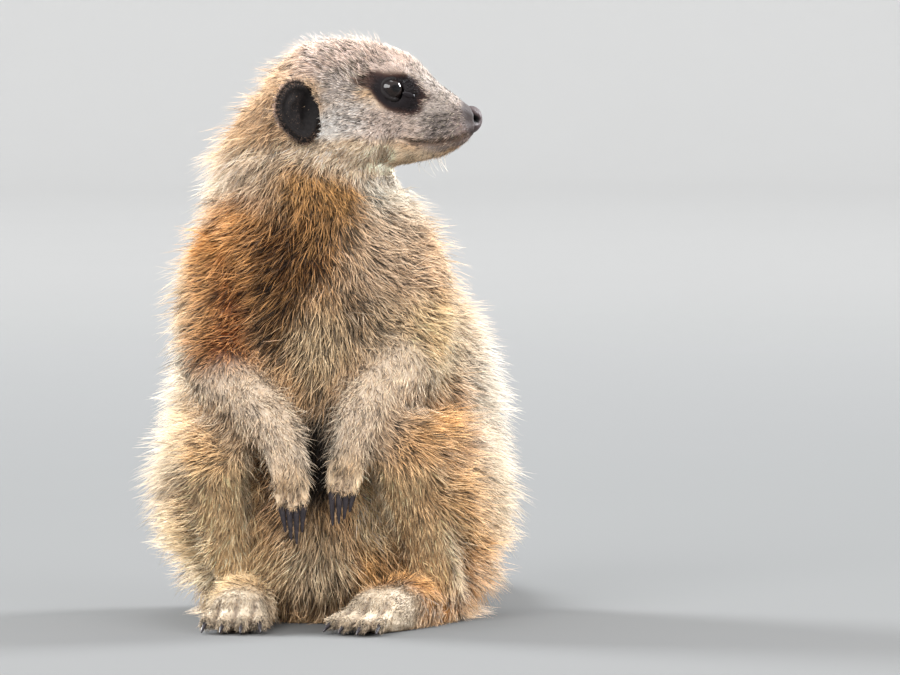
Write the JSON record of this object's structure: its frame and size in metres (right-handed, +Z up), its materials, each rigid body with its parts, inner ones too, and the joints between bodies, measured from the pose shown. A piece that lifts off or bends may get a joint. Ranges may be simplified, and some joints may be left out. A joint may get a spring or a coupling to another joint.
{
  "type": "meerkat",
  "caption": "Life-size meerkat sitting upright on its rump, forelegs hanging over its belly, head turned to its left, tail laid on the floor behind.",
  "frame": {"origin": "on the floor, on the flat under the rump, straight below the middle of the neck", "axes": "+Z up; the chest faces -Y and the tail runs back along +Y; +X is the animal's left, the side to which its head is turned"},
  "size_m": [0.1311, 0.3185, 0.2176],
  "materials": {
    "coat": "grizzled tawny fur",
    "pale_coat": "short pale fur of the paws and feet",
    "dark_coat": "short blackish fur of the ears and the tail's tip",
    "eye": "wet and glossy",
    "nose_pad": "fine-grained and slightly moist",
    "claw": "dark horn with a soft gloss"
  },
  "bodies": {
    "root": {"head": "coat", "lower_jaw": "coat", "neck": "coat", "trunk": "coat", "tail_base": "coat", "tail_middle": "coat", "tail_tip": "dark_coat", "nose": "nose_pad", "left_upper_arm": "coat", "left_forearm": "coat", "left_thigh": "coat", "left_shank": "coat", "left_forepaw": "pale_coat", "left_hind_foot": "pale_coat", "left_ear": "dark_coat", "left_eye": "eye", "left_fore_claw_1": "claw", "left_fore_claw_2": "claw", "left_fore_claw_3": "claw", "left_fore_claw_4": "claw", "left_hind_claw_1": "claw", "left_hind_claw_2": "claw", "left_hind_claw_3": "claw", "left_hind_claw_4": "claw", "right_upper_arm": "coat", "right_forearm": "coat", "right_thigh": "coat", "right_shank": "coat", "right_forepaw": "pale_coat", "right_hind_foot": "pale_coat", "right_ear": "dark_coat", "right_eye": "eye", "right_fore_claw_1": "claw", "right_fore_claw_2": "claw", "right_fore_claw_3": "claw", "right_fore_claw_4": "claw", "right_hind_claw_1": "claw", "right_hind_claw_2": "claw", "right_hind_claw_3": "claw", "right_hind_claw_4": "claw"}
  },
  "joints": []
}
